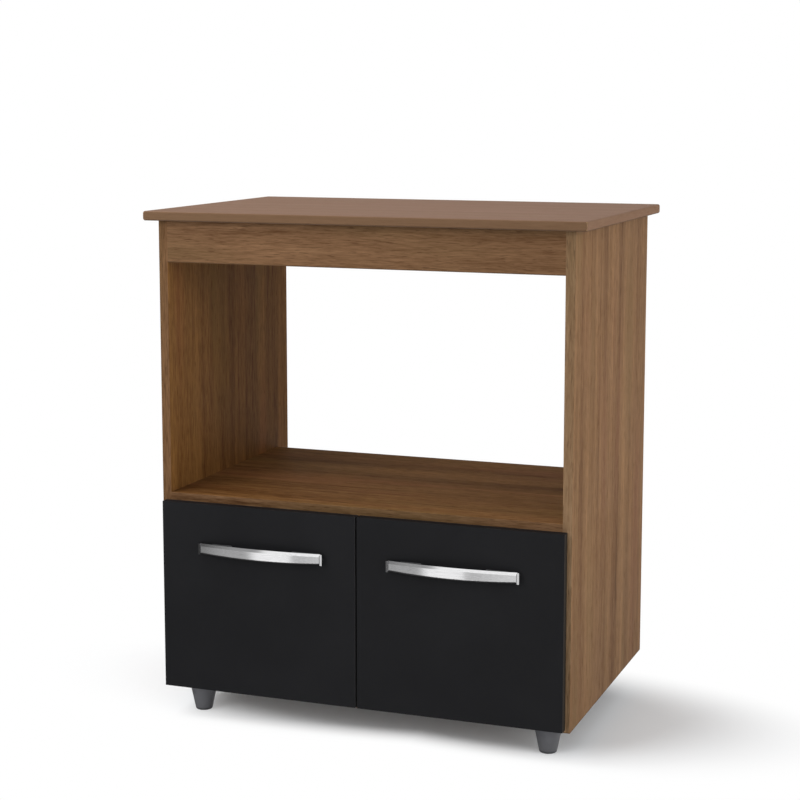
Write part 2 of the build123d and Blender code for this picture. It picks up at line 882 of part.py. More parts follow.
save(make_brackets(), "top_brackets")
bracket_side_spots = []
bracket_top_spots = []
for y in bracket_points:
    bracket_side_spots.append(facing(inner_x - bracket_steel, y, top_z - bracket_screw_out, (-1, 0, 0)))
    bracket_top_spots.append(facing(inner_x - bracket_screw_out, y, top_z - bracket_steel, (0, 0, -1)))
bracket_screws = grouped(
    (both_sides(bracket_side_spots), wood_screw(bracket_steel, side_bite)),
    (both_sides(bracket_top_spots), wood_screw(bracket_steel, top_bite)),
)
save(bracket_screws, "top_bracket_screws")

nail_spots = []
for z in board_heights:
    nail_spots += [facing(x, board_rear_y + back_thickness, z, (0, 1, 0)) for x in nail_x_places()]
save(grouped((nail_spots, nail())), "back_panel_nails")

# Write the doors with what is fixed to them

handle_screw_spots = [facing(x, door_back_y, handle_z, (0, 1, 0)) for x in handle_screw_xs]
door_pieces = {
    "door": make_door(),
    "door_handle": make_handle(),
    "handle_bases": make_handle_bases(),
    "handle_screws": grouped((handle_screw_spots, handle_screw())),
    "door_bumpers": make_door_bumpers(),
}

# Write the hinges

arm_pin_length = 2 * (link_width / 2 + link_side_clearance + arm_wall)
web_x = inner_x - arm_web_in - arm_web_thickness
wing_x = inner_x - plate_wing_thickness
cup_flange_y = door_back_y + cup_flange_thickness
hinge_pieces = {}
cup_screw_spots = []
arm_screw_spots = []
for name, z in zip(hinge_names, hinge_heights):
    hinge_pieces[f"{name}_hinge_cup"] = make_hinge_cup(z)
    hinge_pieces[f"{name}_hinge_link"] = make_hinge_link(z)
    hinge_pieces[f"{name}_hinge_arm"] = make_hinge_arm(z)
    hinge_pieces[f"{name}_hinge_plate"] = make_hinge_plate(z)
    cup_screw_spots += cup_screw_places(z, cup_flange_y)
    arm_screw_spots += [facing(web_x, y, z, (-1, 0, 0)) for y in arm_screw_ys]
plate_screw_spots = [facing(wing_x, y, z, (-1, 0, 0)) for y, z in plate_screw_points]


def make_pins(inward, forward, length):
    with BuildPart() as pins:
        for z in hinge_heights:
            add(make_hinge_pin(z, inward, forward, length).part)
    return pins


hinge_pieces["hinge_arm_pins"] = make_pins(link_pin_in, link_pin_forward, arm_pin_length)
hinge_pieces["hinge_cup_pins"] = make_pins(cup_pin_in, cup_pin_forward, cup_pin_length())
cup_screw = wood_screw(cup_flange_thickness, door_bite)
plate_screw = wood_screw(plate_wing_thickness, side_bite)
hinge_pieces["hinge_cup_screws"] = grouped((cup_screw_spots, cup_screw))
hinge_pieces["hinge_arm_screws"] = grouped((arm_screw_spots, arm_screw()))
hinge_pieces["hinge_plate_screws"] = grouped((plate_screw_spots, plate_screw))

for name, piece in {**door_pieces, **hinge_pieces}.items():
    save(piece, f"right_{name}")
    save(mirrored(piece), f"left_{name}")
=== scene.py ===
# %% [markdown]
# # A microwave cabinet in brown and black board
#
# This lesson dresses a flat-pack kitchen cabinet. The construction is done already: every board,
# foot, hinge and screw arrives at its real size, in metres, and stays where it is. What is left
# is the finish, which is most of what the eye sees: wood-grain laminate, matte black doors,
# satin handles and plain moulded feet.

# %% Load the cabinet
import bpy
import math
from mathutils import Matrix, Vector
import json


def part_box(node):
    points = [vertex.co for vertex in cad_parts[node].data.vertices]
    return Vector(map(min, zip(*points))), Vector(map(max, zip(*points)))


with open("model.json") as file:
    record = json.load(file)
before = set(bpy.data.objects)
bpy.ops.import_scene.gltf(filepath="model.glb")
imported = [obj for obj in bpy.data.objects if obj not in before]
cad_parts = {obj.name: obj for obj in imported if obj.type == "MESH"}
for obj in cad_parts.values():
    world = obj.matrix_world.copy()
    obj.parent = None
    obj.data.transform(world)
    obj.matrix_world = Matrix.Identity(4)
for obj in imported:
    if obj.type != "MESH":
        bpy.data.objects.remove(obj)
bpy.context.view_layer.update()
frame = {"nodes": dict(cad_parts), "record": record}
nodes = frame["nodes"]

# %% [markdown]
# ## Writing shader maths as plain arithmetic
#
# A wood finish is a long sum: this streak plus that band, times a mask. Wiring it by hand hides
# the sum, so one small class lets a socket be added, multiplied and compared like a number.
# Every operator adds one Math node. Numbers on their own are worked out in Python.

# %% A socket that can be calculated with
class Signal:
    def __init__(self, finish, socket):
        self.finish = finish
        self.socket = socket

    def math(self, operation, first, second=None):
        given = {0: first} if second is None else {0: first, 1: second}
        return self.finish.node("ShaderNodeMath", {"operation": operation}, given)

    def __add__(self, other):
        return self.math("ADD", self, other)

    __radd__ = __add__

    def __sub__(self, other):
        return self.math("SUBTRACT", self, other)

    def __rsub__(self, other):
        return self.math("SUBTRACT", other, self)

    def __mul__(self, other):
        return self.math("MULTIPLY", self, other)

    __rmul__ = __mul__

    def __gt__(self, other):
        return self.math("GREATER_THAN", self, other)

    def __lt__(self, other):
        return self.math("LESS_THAN", self, other)

    def __abs__(self):
        return self.math("ABSOLUTE", self)

    def root(self):
        return self.math("SQRT", self)

    def least(self, other):
        return self.math("MINIMUM", self, other)

    def most(self, other):
        return self.math("MAXIMUM", self, other)

    def ramp(self, low, high):
        """0 below low, 1 above high, and a soft slope between."""
        settings = {"interpolation_type": "SMOOTHSTEP"}
        given = {"Value": self, "From Min": low, "From Max": high}
        return self.finish.node("ShaderNodeMapRange", settings, given)


print("signals can be added, multiplied and compared")

# %% [markdown]
# A node tree needs any node in one call, and a way to mix colours and move points. Those don't
# go through Math nodes, which would turn a colour grey and a point into a single number.

# %% A node tree that is being made
class NodeTree:
    def __init__(self, owner, output):
        owner.use_nodes = True
        self.tree = owner.node_tree
        self.tree.nodes.clear()
        self.output = self.tree.nodes.new(output)

    def feed(self, socket, value):
        if isinstance(value, Signal):
            self.tree.links.new(value.socket, socket)
        else:
            socket.default_value = value

    def node(self, kind, settings=None, given=None, out=0):
        made = self.tree.nodes.new(kind)
        for name, value in (settings or {}).items():
            setattr(made, name, value)
        for name, value in (given or {}).items():
            self.feed(made.inputs[name], value)
        return Signal(self, made.outputs[out])

    def show(self, shader):
        self.feed(self.output.inputs["Surface"], shader)

    def mix(self, amount, first, second, blend="MIX"):
        """Colour first where amount is 0, colour second where it is 1."""
        settings = {"data_type": "RGBA", "blend_type": blend}
        given = {0: amount, 6: first, 7: second}
        return self.node("ShaderNodeMix", settings, given, 2)

    def vector(self, operation, first, second):
        settings = {"operation": operation}
        return self.node("ShaderNodeVectorMath", settings, {0: first, 1: second})

    def split(self, vector):
        made = self.node("ShaderNodeSeparateXYZ", None, {0: vector})
        return [Signal(self, socket) for socket in made.socket.node.outputs]

    def join(self, x, y, z):
        return self.node("ShaderNodeCombineXYZ", None, {0: x, 1: y, 2: z})


print("node trees can be made")

# %% [markdown]
# A finish is the node tree of one material. Its points and directions are the piece's own, so
# that it stays put when a door swings. The surface shader is added last, when its colour,
# roughness and relief are known.

# %% The finish of one material
# a noise keeps near its middle, and nearly all of it lies between these levels
NOISE_SPAN = (0.3, 0.7)


class Finish(NodeTree):
    def __init__(self, name):
        self.material = bpy.data.materials.new(name)
        super().__init__(self.material, "ShaderNodeOutputMaterial")

    def place(self):
        """Where a point lies, in metres, whatever pose the piece is in."""
        return self.node("ShaderNodeTexCoord", out="Object")

    def facing(self):
        """How far the surface faces along X, Y and Z, again as the piece sees it."""
        return self.split(self.node("ShaderNodeTexCoord", out="Normal"))

    def noise(self, where, scale, detail=2.0, roughness=0.5):
        """Soft random levels, with about so many features a metre."""
        settings = {"noise_dimensions": "3D"}
        given = {"Vector": where, "Scale": scale, "Detail": detail, "Roughness": roughness}
        return self.node("ShaderNodeTexNoise", settings, given)

    def bump(self, height, distance, strength=1.0):
        given = {"Height": height, "Distance": distance, "Strength": strength}
        return self.node("ShaderNodeBump", None, given)

    def surface(self, **given):
        given = {name.replace("_", " "): value for name, value in given.items()}
        shader = self.node("ShaderNodeBsdfPrincipled", None, given)
        self.show(shader)
        return shader


print("finishes can be made")

# %% [markdown]
# Colours are easiest to read off a surface as screen values from 0 to 255. The renderer counts
# light, so each is turned into a share of light first.

# %% Colours from screen values
def light_share(level):
    share = level / 255
    return share / 12.92 if share <= 0.04045 else ((share + 0.055) / 1.055) ** 2.4


def colour(red, green, blue):
    return (light_share(red), light_share(green), light_share(blue), 1.0)


def grey(light):
    """An even grey that sends out this share of the light."""
    return (light, light, light, 1.0)


def toned_by(tint, share):
    return (*(min(1.0, share * light) for light in tint[:3]), 1.0)


print("mid brown is", [round(share, 3) for share in colour(118, 92, 66)])

# %% [markdown]
# ## Wood-grain laminate
#
# The boards are chipboard with a printed walnut-like paper pressed on. A picture of such paper
# could be wrapped round them, but it would repeat from board to board and blur close by, so the
# print is worked out from noise instead. It has several scales at once: bands as wide as two
# fingers, veins of a centimetre, streaks of two or three millimetres, hair-fine fibres and
# short dark pores. Each is noise that is stretched along the grain, so one function squeezes
# space across the grain and reads noise there. Space is bent a little first, because the grain
# of a tree isn't ruled.

# %% The scales of the grain
GRAIN_AXES = {"X": 0, "Z": 2}
# how many a metre across the grain and along it, then the noise's detail and roughness
LINES = {
    "bands": (22.0, 0.6, 3.0, 0.5),
    "veins": (100.0, 3.0, 2.0, 0.5),
    "streaks": (420.0, 30.0, 2.0, 0.6),
    "fibres": (1100.0, 80.0, 2.0, 0.6),
    "pores": (560.0, 50.0, 1.0, 0.5),
}
WANDER = 0.018
WANDER_SCALES = (9.0, 1.6)


def stretched(finish, point, along, across, lengthways):
    """Space scaled for noise with so many features a metre across the grain and along it."""
    scale = [across, across, across]
    scale[GRAIN_AXES[along]] = lengthways
    return finish.vector("MULTIPLY", point, tuple(scale))


def wandering(finish, point, along):
    bend = finish.noise(stretched(finish, point, along, *WANDER_SCALES), 1.0, 1.0) * WANDER
    return finish.vector("ADD", point, finish.join(bend, bend, bend))


def lines(finish, bent, along, kind):
    across, lengthways, detail, roughness = LINES[kind]
    where = stretched(finish, bent, along, across, lengthways)
    return finish.noise(where, 1.0, detail, roughness)


print("the grain has", ", ".join(LINES))

# %% [markdown]
# Laminate is cut and banded, and its edges wear first. Wear could be painted on by hand, but a
# board is a box, and how far a point lies from the nearest edge follows from that box: of its
# three distances to the box's faces the smallest is nearly nought on the surface, and the
# middle one is the distance to the edge. A point that is well below all faces lies in a drilled
# hole, where bare chipboard shows.

# %% Edges, holes and faces
HOLE_DEPTH = 0.0012
WEAR_WIDTH = 0.0008
FACE_SHARE = 0.7
CHIPBOARD = colour(186, 156, 116)
CHIP_SHADOW = colour(112, 84, 56)


def edge_and_depth(finish, point, name):
    low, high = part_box(name)
    x, y, z = [
        (here - low[axis]).least(high[axis] - here)
        for axis, here in enumerate(finish.split(point))
    ]
    edge = x.least(y).most(x.most(y).least(z))
    depth = x.least(y).least(z)
    return edge, depth


def faces(finish, axis):
    """1 where the surface faces either way along an axis."""
    return abs(finish.facing()[axis]) > FACE_SHARE


def scuffed(finish, shown, point, edge, wear):
    """The paper has gone in patches along the edges, and what is below it shows."""
    scale, patches, strength, below = wear
    scuffs = finish.noise(point, scale, 3.0).ramp(*patches)
    return finish.mix((1 - edge.ramp(0.0, WEAR_WIDTH)) * scuffs * strength, shown, below)


def bored(finish, shown, point, depth):
    """Chipboard in the drilled holes."""
    chips = finish.noise(point, 520.0, 4.0, 0.7)
    dust = finish.noise(point, 90.0, 2.0)
    bare = finish.mix((chips * 0.8 + dust * 0.2).ramp(0.38, 0.62), CHIP_SHADOW, CHIPBOARD)
    return finish.mix(depth > HOLE_DEPTH, shown, bare)


print("edges wear over", WEAR_WIDTH * 1000, "mm")

# %% [markdown]
# The print itself is a dark and a pale brown, mixed by the sum of the lines. Here and there the
# paper leans towards red or towards olive, and the pores are darker than both. On the ends of a
# board the grain of the edging tape runs across, so space is turned over there.

# %% The print on the paper
DARK_GRAIN = colour(84, 55, 30)
PALE_GRAIN = colour(146, 112, 78)
RED_TINT = colour(134, 92, 68)
OLIVE_TINT = colour(116, 94, 60)
PORE = colour(70, 46, 28)
PORE_RANGE = (0.58, 0.72)
TINT_SCALES = (16.0, 1.8)
TINT_RANGE = (0.54, 0.76)
TINT_SHARE = 0.25


def along_the_tape(finish, point, along):
    x, y, z = finish.split(point)
    turned = finish.join(y, x, z) if along == "X" else finish.join(x, z, y)
    return finish.mix(faces(finish, GRAIN_AXES[along]), point, turned)


def printed_paper(finish, point, along, contrast):
    """The colour of the print, and the three kinds of line that can be felt."""
    bent = wandering(finish, point, along)
    bands, veins, streaks, fibres, pores = [lines(finish, bent, along, kind) for kind in LINES]
    pores = pores.ramp(*PORE_RANGE)
    figure = bands * 0.34 + veins * 0.20 + streaks * 0.30 + fibres * 0.16
    figure = (figure - 0.5) * (2.0 * contrast) + 0.5
    shown = finish.mix(figure, DARK_GRAIN, PALE_GRAIN)
    patches = finish.noise(stretched(finish, point, along, *TINT_SCALES), 1.0, 1.0)
    share = TINT_SHARE * contrast
    shown = finish.mix(patches.ramp(*TINT_RANGE) * share, shown, RED_TINT)
    shown = finish.mix((1 - patches).ramp(*TINT_RANGE) * share, shown, OLIVE_TINT)
    shown = finish.mix(pores * share, shown, PORE)
    return shown, streaks, fibres, pores


print("a third of the figure is bands, and the rest is finer lines")

# %% [markdown]
# The broad faces, the edging tape and the taped ends come from different rolls, so a board may
# tone them apart. A tone multiplies the print, which keeps the figure as it is. Two tones are
# for side panels: the inward face is toned darker and browner as painted shade, and the stretch
# of tape beside the doors is toned paler as painted light where the doors shade it.

# %% The tones of a board
PLAIN = (1.0, 1.0, 1.0)
# the heights over which the tape changes, at the doors' top, to the painted light beside the
# doors
DOOR_TOP = (0.352, 0.362)
BROAD_AXES = {
    "top_panel": 2,
    "left_side_panel": 0,
    "right_side_panel": 0,
    "front_rail": 1,
    "rear_rail": 1,
    "middle_shelf": 2,
    "bottom_panel": 2,
}


def toned(finish, shown, point, name, along, tones):
    tone, tape, ends = [(*tones.get(part, PLAIN), 1.0) for part in ("tone", "tape", "ends")]
    # painted light: the tape beside the doors is made paler where the doors shade it
    if "painted_light_tape" in tones:
        below = 1 - finish.split(point)[2].ramp(*DOOR_TOP)
        tape = finish.mix(below, tape, (*tones["painted_light_tape"], 1.0))
    chosen = finish.mix(faces(finish, BROAD_AXES[name]), tape, tone)
    chosen = finish.mix(faces(finish, GRAIN_AXES[along]), chosen, ends)
    # painted shade: the inward face of a side panel is made darker and browner
    if "inner_shade" in tones:
        inward = 1 if name.startswith("left") else -1
        inward_face = finish.facing()[0] * inward > FACE_SHARE
        chosen = finish.mix(inward_face, chosen, (*tones["inner_shade"], 1.0))
    return finish.mix(1.0, shown, chosen, "MULTIPLY")


print("tones can be chosen for", len(BROAD_AXES), "boards")

# %% [markdown]
# The broad faces of the boards are painted a little darker towards the floor, and the lowest
# edge of each board gets a thin dark line, and both are painted shade. They follow the height,
# so a mask that reads the height is all they need.

# %% Brown laminate
# patches a metre, the levels between which a patch fades in, its strength and what shows
BOARD_WEAR = (140.0, (0.44, 0.70), 0.2, colour(160, 130, 98))
# painted shade: the brown that darkens the boards towards the floor and along their lowest edge
PAINTED_SHADE = colour(54, 38, 22)
# painted shade: the width and strength of the dark line at each board's lowest edge
SHADE_LINE_WIDTH = 0.0026
SHADE_LINE_STRENGTH = 0.6
# painted shade: the broad faces darken between these heights towards the floor
LOW_SHADE_HEIGHTS = (0.05, 0.40)
LOW_SHADE_STRENGTH = 0.14


# paints shade: darker towards the floor, and a thin dark line at the lowest edge
def painted_low_shade(finish, shown, point, name):
    height = finish.split(point)[2]
    # painted shade on the broad faces towards the floor
    low_shade = (1 - height.ramp(*LOW_SHADE_HEIGHTS)) * faces(finish, BROAD_AXES[name])
    shown = finish.mix(low_shade * LOW_SHADE_STRENGTH, shown, PAINTED_SHADE)
    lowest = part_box(name)[0][2]
    # painted shade: a thin dark line at the lowest edge
    shaded = 1 - (height - lowest).ramp(0.0, SHADE_LINE_WIDTH)
    return finish.mix(shaded * SHADE_LINE_STRENGTH, shown, PAINTED_SHADE)


def laminate(name, along, shift, contrast=2.0, rough=0.55, shine=0.04, **tones):
    """Wood-grain board for one node. A shift moves its print on, since no two cuts are alike."""
    finish = Finish(name + "_laminate")
    point = finish.place()
    moved = finish.vector("ADD", along_the_tape(finish, point, along), shift)
    shown, streaks, fibres, pores = printed_paper(finish, moved, along, contrast)
    shown = toned(finish, shown, point, name, along, tones)
    edge, depth = edge_and_depth(finish, point, name)
    shown = scuffed(finish, shown, point, edge, BOARD_WEAR)
    # painted shade towards the floor and at the lowest edge
    shown = painted_low_shade(finish, shown, point, name)
    shown = bored(finish, shown, point, depth)
    relief = fibres * 0.6 + streaks * 0.3 - pores * 0.9
    smudges = finish.noise(point, 11.0, 2.0)
    finish.surface(
        Base_Color=shown,
        Roughness=rough + smudges * 0.10 + pores * 0.12 - streaks * 0.05,
        Specular_IOR_Level=shine,
        Normal=finish.bump(relief, 0.00010, 0.5),
    )
    return finish.material


# the dark lowest edges are painted shade
print("damp edges are", SHADE_LINE_WIDTH * 1000, "mm wide")

# %% [markdown]
# The top is pressed with a plainer, paler sheet than the rest, so its figure almost disappears.
# The top and the shelf are more matte than the upright boards, as surfaces that things are set
# down on often are. The right side and the rails come from a calmer stretch of the print.

# %% Laminate the boards
RAIL = {"along": "X", "contrast": 1.7, "tone": (0.75, 0.74, 0.81)}
BOARDS = {
    "top_panel": {
        "along": "X", "shift": (0.31, 1.17, 0.53), "contrast": 0.35, "rough": 0.7,
        "tone": (1.17, 1.34, 2.08), "tape": (0.76, 0.82, 1.03), "ends": (1.12, 1.22, 1.7),
    },
    "left_side_panel": {
        "along": "Z", "shift": (2.13, 0.71, 0.29),
        # the inward face's tone here is painted shade
        "tone": (1.0, 0.97, 0.93), "tape": (0.66, 0.63, 0.65), "inner_shade": (1.0, 0.84, 0.50),
    },
    "right_side_panel": {
        "along": "Z", "shift": (0.83, 2.41, 1.07), "contrast": 1.7,
        # the inward face's tone here is painted shade
        "tone": (1.05, 1.02, 0.98), "tape": (0.87, 0.96, 1.12), "inner_shade": (1.0, 0.86, 0.60),
        # the tape's tone beside the doors is painted light
        "painted_light_tape": (1.18, 1.36, 1.62),
    },
    "front_rail": {"shift": (1.61, 0.37, 2.23), **RAIL},
    "rear_rail": {"shift": (3.07, 1.91, 0.67), **RAIL},
    "middle_shelf": {
        "along": "X", "shift": (2.71, 3.13, 1.49), "rough": 0.66, "shine": 0.02,
        "tone": (1.05, 0.93, 0.70), "tape": (0.77, 0.77, 0.85),
    },
    "bottom_panel": {"along": "X", "shift": (1.03, 2.87, 3.31)},
}


def dress(name, material):
    nodes[name].data.materials.clear()
    nodes[name].data.materials.append(material)


for board, choices in BOARDS.items():
    dress(board, laminate(board, **choices))
print("laminated", len(BOARDS), "boards")

# %% [markdown]
# ## The back panel
#
# The panel behind the doors is three millimetres of hardboard. Its inside is printed brown to
# go with the boards, and its outside is left as it comes from the press: tan, fuzzy, speckled
# with fibres. Two materials could share the mesh, but one is enough here, because the way the
# surface faces says which side it is.

# %% Hardboard, printed on one side
FELT_DARK = colour(112, 80, 54)
FELT_PALE = colour(152, 116, 82)


def hardboard():
    finish = Finish("hardboard_back")
    point = finish.place()
    bent = wandering(finish, point, "X")
    bands, veins, streaks = [
        lines(finish, bent, "X", kind) for kind in ("bands", "veins", "streaks")
    ]
    printed = finish.mix(bands * 0.4 + veins * 0.3 + streaks * 0.3, DARK_GRAIN, PALE_GRAIN)
    flock = finish.noise(point, 420.0, 4.0, 0.7)
    clumps = finish.noise(point, 120.0, 3.0)
    felt = finish.mix((flock * 0.85 + clumps * 0.15).ramp(0.36, 0.64), FELT_DARK, FELT_PALE)
    outward = finish.facing()[1] > 0.5
    finish.surface(
        Base_Color=finish.mix(outward, printed, felt),
        Roughness=0.62 + flock * 0.2,
        Normal=finish.bump(flock, 0.0002, 0.5),
    )
    return finish.material


dress("back_panel", hardboard())
print("dressed the back panel")

# %% [markdown]
# ## Matte black doors
#
# The doors are the same board with a plain black paper, pressed between plates with a fine
# pebble texture. Black only looks like a surface through what its gloss does, so the colour
# hardly varies, while the roughness and the pebble do the work. The upright edges are banded
# with a paler tape, and each door has its own roll. The left door's tape is paler still, which
# is partly painted light in the shaded gap between the doors.

# %% Black laminate
DOOR_BLACK = colour(20, 20, 22)
DOOR_CLOUD = colour(24, 24, 26)
DOOR_PEBBLE = colour(29, 29, 31)
DOOR_WEAR = (160.0, (0.5, 0.74), 0.3, colour(66, 60, 54))


def black_laminate(name, shift, tape):
    finish = Finish(name + "_black")
    point = finish.place()
    moved = finish.vector("ADD", point, shift)
    pebble = finish.noise(moved, 1500.0, 2.0, 0.6)
    cloud = finish.noise(moved, 7.0, 3.0)
    black = finish.mix(cloud.ramp(*NOISE_SPAN), DOOR_BLACK, DOOR_CLOUD)
    black = finish.mix(pebble.ramp(0.35, 0.75) * 0.5, black, DOOR_PEBBLE)
    black = finish.mix(faces(finish, 0), black, tape)
    edge, depth = edge_and_depth(finish, point, name)
    black = scuffed(finish, black, point, edge, DOOR_WEAR)
    finish.surface(
        Base_Color=bored(finish, black, point, depth),
        Roughness=0.52 + cloud * 0.08 + pebble * 0.06,
        Specular_IOR_Level=0.16,
        Normal=finish.bump(pebble, 0.00008, 0.5),
    )
    return finish.material


for name, shift, tape in (
    # the left door's paler tape is partly painted light in the shaded gap between the doors
    ("left_door", (0.4, 0.2, 0.9), colour(60, 60, 61)),
    ("right_door", (2.3, 1.1, 0.3), colour(37, 32, 26)),
):
    dress(name, black_laminate(name, shift, tape))
print("dressed both doors")

# %% [markdown]
# ## Satin handles
#
# The handles are metal with a brushed, lacquered face. Brushing leaves fine scratches along the
# strap, so the highlight stretches across them. The scratches are noise that is very long in
# one direction, and they feed the roughness and a shallow bump. The end plates are crowned: the
# same bump leans them outward, so they catch another part of the room than the strap. The corner
# between plate and strap is painted dark grey, which is painted shade.

# %% Brushed metal
SATIN = colour(240, 240, 241)
# painted shade for the corner between end plate and strap
PAINTED_CORNER_SHADE = colour(96, 96, 98)
SCRATCHES = (1400.0, 18.0)
HANDLE_LOW, HANDLE_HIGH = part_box("right_door_handle")
HANDLE_MIDDLE = (HANDLE_LOW[0] + HANDLE_HIGH[0]) / 2
END_PLATE = 0.0034
STRAP_HALF = HANDLE_HIGH[0] - HANDLE_MIDDLE - END_PLATE
CROWN_SLOPE = 0.36
CORNER_WIDTH = 0.0008


def brushed_metal(name):
    finish = Finish(name)
    point = finish.place()
    from_middle = abs(abs(finish.split(point)[0]) - HANDLE_MIDDLE)
    crown = from_middle.most(STRAP_HALF) * -CROWN_SLOPE
    scratches = finish.noise(stretched(finish, point, "X", *SCRATCHES), 1.0, 3.0, 0.65)
    haze = finish.noise(point, 60.0, 2.0)
    bright = finish.mix(scratches.ramp(*NOISE_SPAN), toned_by(SATIN, 0.86), SATIN)
    sideways = abs(finish.facing()[0]) > 0.5
    # painted shade on the sides of the corner between plate and strap
    corner_shade = sideways * (from_middle < STRAP_HALF + CORNER_WIDTH)
    finish.surface(
        Base_Color=finish.mix(corner_shade, bright, PAINTED_CORNER_SHADE),
        Metallic=1.0,
        Roughness=0.07 + scratches * 0.05 + haze * 0.03,
        Normal=finish.bump(crown + scratches * 0.000006, 1.0),
    )
    return finish.material


satin_handle = brushed_metal("satin_handle")
print("straps are", round(2000 * STRAP_HALF, 1), "mm long between their end plates")

# %% [markdown]
# ## Moulded plastic
#
# Feet and handle bases are injection moulded. The mould is spark eroded, which leaves an even
# fine grain. That grain is far too small to model, so it is a bump. The rim of each foot is
# darker towards the floor, and the bases are a darker and slightly glossier plastic than the
# feet.

# %% Plastic from a spark-eroded mould
SOLE = colour(40, 40, 41)
RIM_HEIGHTS = (0.002, 0.006)


def moulded_plastic(name, base, rough):
    finish = Finish(name)
    point = finish.place()
    sparks = finish.noise(point, 2200.0, 2.0, 0.6)
    flow = finish.noise(point, 30.0, 2.0)
    mottle = flow.ramp(*NOISE_SPAN) * 0.6 + sparks * 0.25
    shade = finish.mix(mottle, base, toned_by(base, 1.25))
    # darker towards the floor, over the lowest few millimetres
    rim = 1 - finish.split(point)[2].ramp(*RIM_HEIGHTS)
    finish.surface(
        Base_Color=finish.mix(rim * 0.6, shade, SOLE),
        Roughness=rough + flow * 0.08,
        Specular_IOR_Level=0.4,
        Normal=finish.bump(sparks, 0.00006, 0.5),
    )
    return finish.material


grey_plastic = moulded_plastic("grey_plastic", colour(92, 92, 95), rough=0.48)
black_plastic = moulded_plastic("black_plastic", colour(78, 78, 80), rough=0.36)
print("mixed", grey_plastic.name, "and", black_plastic.name)

# %% [markdown]
# ## The metal and wood that hold it together
#
# Screws, hinges and brackets are steel with a thin coat of zinc, which is bluish and slightly
# mottled, and the cams are cast zinc, which is duller. The dowels are pale beech, and the door
# bumpers clear soft plastic. They show only when the doors are open, and then small, so a tint
# and a little noise are enough.

# %% Fittings
def zinc_plate(name, tint, rough):
    finish = Finish(name)
    point = finish.place()
    flakes = {"Vector": point, "Scale": 420.0}
    spangle = finish.node("ShaderNodeTexVoronoi", None, flakes, "Distance")
    mottle = finish.noise(point, 160.0, 3.0)
    finish.surface(
        Base_Color=finish.mix(mottle.ramp(*NOISE_SPAN), toned_by(tint, 0.7), tint),
        Metallic=1.0,
        Roughness=rough + spangle * 0.12 + mottle * 0.1,
        Normal=finish.bump(mottle, 0.00004, 0.4),
    )
    return finish.material


def beech():
    finish = Finish("beech")
    rays = finish.noise(stretched(finish, finish.place(), "X", 900.0, 40.0), 1.0, 2.0)
    shade = finish.mix(rays.ramp(*NOISE_SPAN), colour(186, 148, 102), colour(214, 182, 138))
    finish.surface(Base_Color=shade, Roughness=0.6 + rays * 0.1)
    return finish.material


def soft_bumper():
    finish = Finish("soft_bumper")
    haze = finish.noise(finish.place(), 300.0, 2.0)
    shade = finish.mix(haze.ramp(*NOISE_SPAN), colour(140, 140, 137), colour(164, 164, 160))
    finish.surface(Base_Color=shade, Roughness=0.32 + haze * 0.1)
    return finish.material


slot_finishes = {
    "handle_metal": satin_handle,
    "dark_plastic": grey_plastic,
    "plated_steel": zinc_plate("plated_steel", colour(196, 198, 200), rough=0.28),
    "cast_zinc": zinc_plate("cast_zinc", colour(170, 172, 174), rough=0.42),
    "dowel_wood": beech(),
    "bumper_rubber": soft_bumper(),
}
print("finishes for", ", ".join(slot_finishes))

# %% [markdown]
# Every piece says in its record what it is made of, so one loop dresses all that are left. The
# handle bases are put in their darker plastic after it.

# %% Dress the other pieces
for row in frame["record"]["subparts"]:
    if row["material_slot"] in slot_finishes:
        dress(row["node"], slot_finishes[row["material_slot"]])
for name in ("left_handle_bases", "right_handle_bases"):
    dress(name, black_plastic)
print("dressed", len(nodes), "pieces")

# %% [markdown]
# ## A place to stand
#
# The floor is white paper that fades into a white background. Close to the cabinet it catches
# the shadow, and further out it turns into plain white, so that no horizon shows. More light
# could do that as well, but it would bleach the cabinet. The patch with the shadow is an oval
# that reaches further to the left than to the right. In front it ends softly under the doors,
# a little further forward towards both ends.

# %% The floor
FLOOR_HALF = 6.0
PAPER_DARK = (0.91, 0.93, 0.95, 1.0)
PAPER_PALE = (0.93, 0.95, 0.97, 1.0)
SHADE_MIDDLE = (0.08, 0.0, 0.0)
SHADE_LEFT = 0.75
SHADE_RIGHT = 0.63
SHADE_DEEP = 0.28
SHADE_RANGE = (0.55, 1.08)
FRONT_RANGE = (0.135, 0.225)
FRONT_SPREAD = 0.15
NEAR_GLOW = 0.06


def flat_piece(name, corners, material):
    mesh = bpy.data.meshes.new(name)
    mesh.from_pydata(corners, [], [(0, 1, 2, 3)])
    mesh.materials.append(material)
    piece = bpy.data.objects.new(name, mesh)
    bpy.context.scene.collection.objects.link(piece)
    return piece


def level_square(half, height):
    return [(x * half, y * half, height) for x, y in ((-1, -1), (1, -1), (1, 1), (-1, 1))]


def shadow_patch(finish, point):
    """1 where the shadow may show, 0 where the floor is plain white."""
    x, y = finish.split(finish.vector("SUBTRACT", point, SHADE_MIDDLE))[:2]
    sideways = (x * (1 / SHADE_RIGHT)).most(x * (-1 / SHADE_LEFT))
    inward = y * (1 / SHADE_DEEP)
    reach = (sideways * sideways + inward * inward).root()
    front = abs(x) * -FRONT_SPREAD - y
    return (1 - reach.ramp(*SHADE_RANGE)) * (1 - front.ramp(*FRONT_RANGE))


